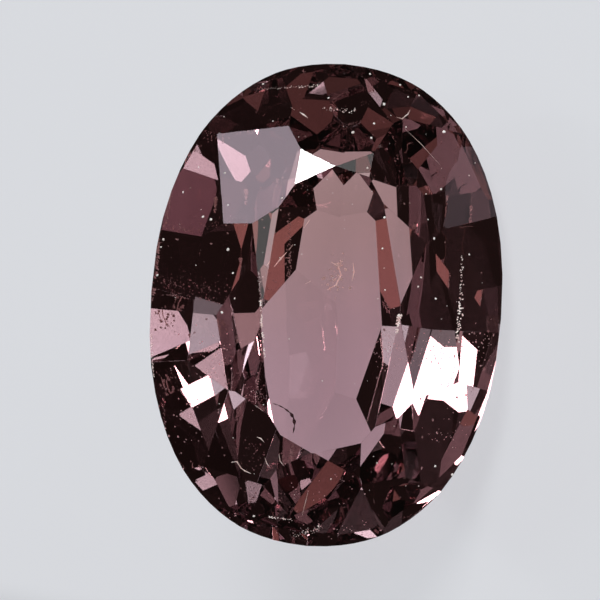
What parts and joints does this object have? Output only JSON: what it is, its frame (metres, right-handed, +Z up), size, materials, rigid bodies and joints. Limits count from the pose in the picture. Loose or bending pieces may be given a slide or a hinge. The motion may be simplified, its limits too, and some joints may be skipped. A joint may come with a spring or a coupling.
{
  "type": "faceted oval pink sapphire",
  "caption": "Loose oval mixed-cut pink sapphire with a flat table, faceted crown and pavilion and a shallow see-through window, lying on a pavilion facet.",
  "frame": {"origin": "middle of the bounding box at its base, in the plane that the stone lies on", "axes": "+Z up; +X along the stone's long axis; the table faces up, tipped about 41 degrees towards -Y"},
  "size_m": [0.008, 0.0046, 0.0044],
  "materials": {
    "pink_sapphire": "polished, clear dusty pink, with small inclusions, scratches and worn facet edges"
  },
  "bodies": {
    "root": {"cut_sapphire": "pink_sapphire"}
  },
  "joints": []
}
